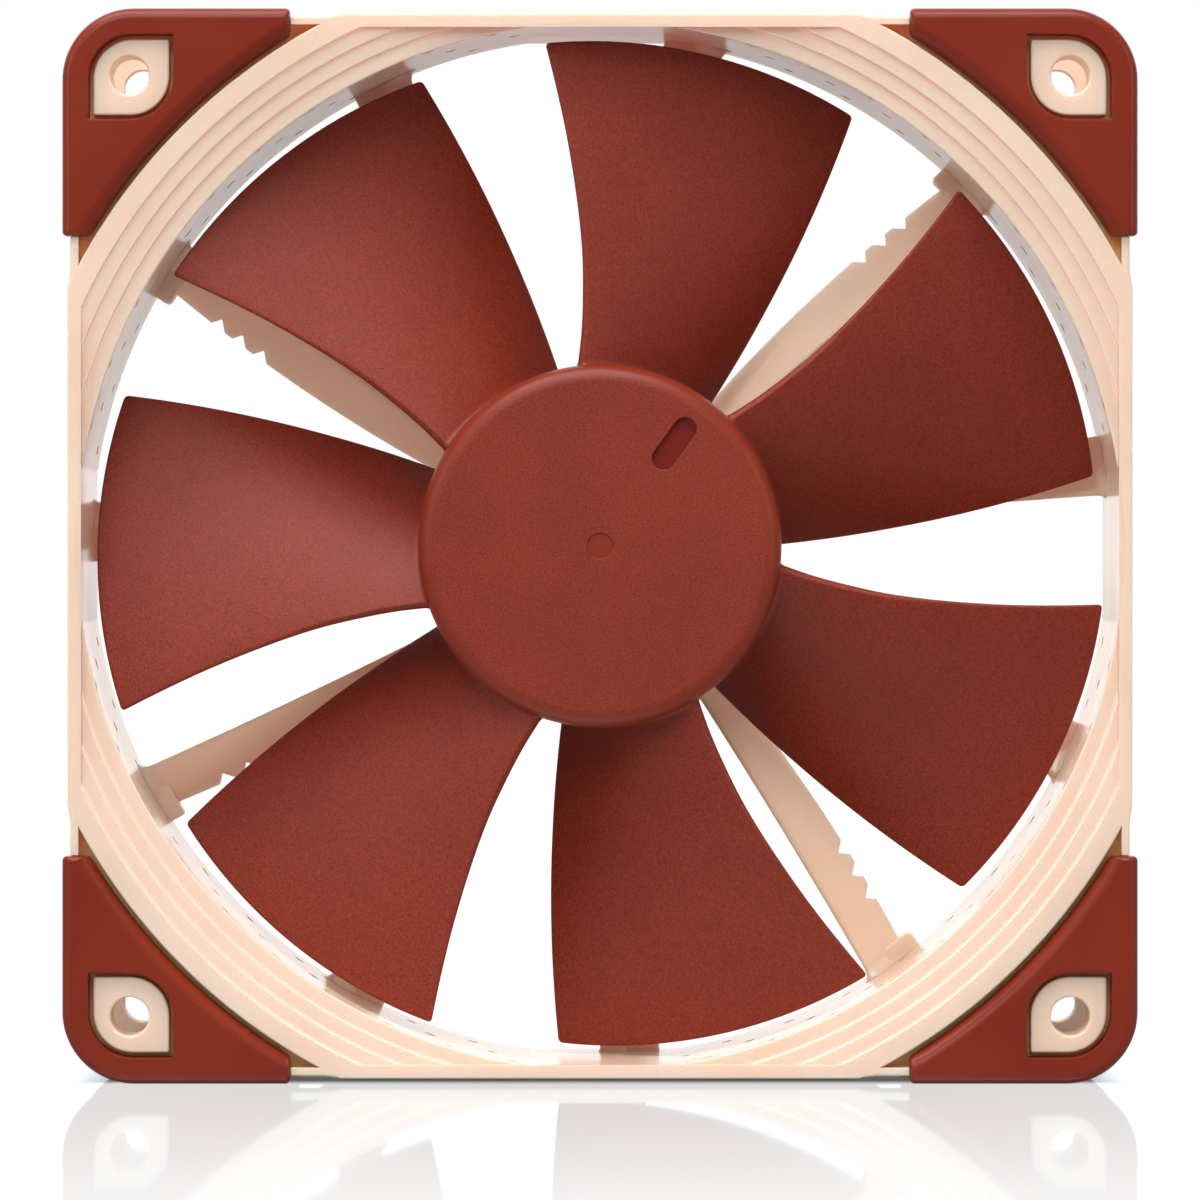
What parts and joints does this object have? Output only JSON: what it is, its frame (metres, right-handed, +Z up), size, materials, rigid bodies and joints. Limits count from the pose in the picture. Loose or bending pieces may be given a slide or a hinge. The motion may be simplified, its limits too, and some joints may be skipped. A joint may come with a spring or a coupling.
{
  "type": "case fan",
  "caption": "Square axial case fan with a stepped intake, a swept-blade impeller, notched stator vanes and soft corner pads.",
  "frame": {"origin": "on the rotor's axis, midway between the front and rear pads' faces", "axes": "+Y along the rotor's axis from the intake to the outlet, +Z up, +X to the right seen from the intake"},
  "size_m": [0.12, 0.025, 0.12],
  "materials": {
    "frame": "fine satin moulding, warm beige",
    "pads": "matte red-brown silicone",
    "impeller": "fine spark-eroded texture, red-brown",
    "steel": "ground",
    "lamination": "punched silicon steel",
    "brass": "turned",
    "bronze": "sintered, oil-filled",
    "ferrite": "matte pressed ferrite",
    "nylon": "natural nylon",
    "copper": "enamelled copper wire",
    "board": "solder-masked glass-fibre laminate",
    "epoxy": "moulded epoxy",
    "label": "printed film, left blank"
  },
  "bodies": {
    "frame_body": {"frame": "frame", "front_pad_top_right": "pads", "front_pad_top_left": "pads", "front_pad_bottom_left": "pads", "front_pad_bottom_right": "pads", "rear_pad_top_right": "pads", "rear_pad_top_left": "pads", "rear_pad_bottom_left": "pads", "rear_pad_bottom_right": "pads", "bearing_shell": "brass", "thrust_pad": "nylon", "stabilising_magnet": "ferrite", "retaining_washer": "nylon", "bearing_sleeve": "bronze", "oil_seal": "nylon", "stator_core": "lamination", "front_insulator": "nylon", "rear_insulator": "nylon", "coil_1": "copper", "coil_2": "copper", "coil_3": "copper", "coil_4": "copper", "circuit_board": "board", "driver_chip": "epoxy", "hall_sensor": "epoxy", "smoothing_capacitor": "nylon", "resistor_1": "epoxy", "resistor_2": "epoxy", "rear_label": "label"},
    "rotor_body": {"impeller": "impeller", "rotor_yoke": "steel", "rotor_magnet": "ferrite", "shaft_boss": "brass", "shaft": "steel"}
  },
  "joints": [
    {"name": "rotor_spin", "type": "hinge", "parent": "frame_body", "child": "rotor_body", "pos_m": [0, 0, 0], "axis": [0, -1, 0], "continuous": true}
  ]
}
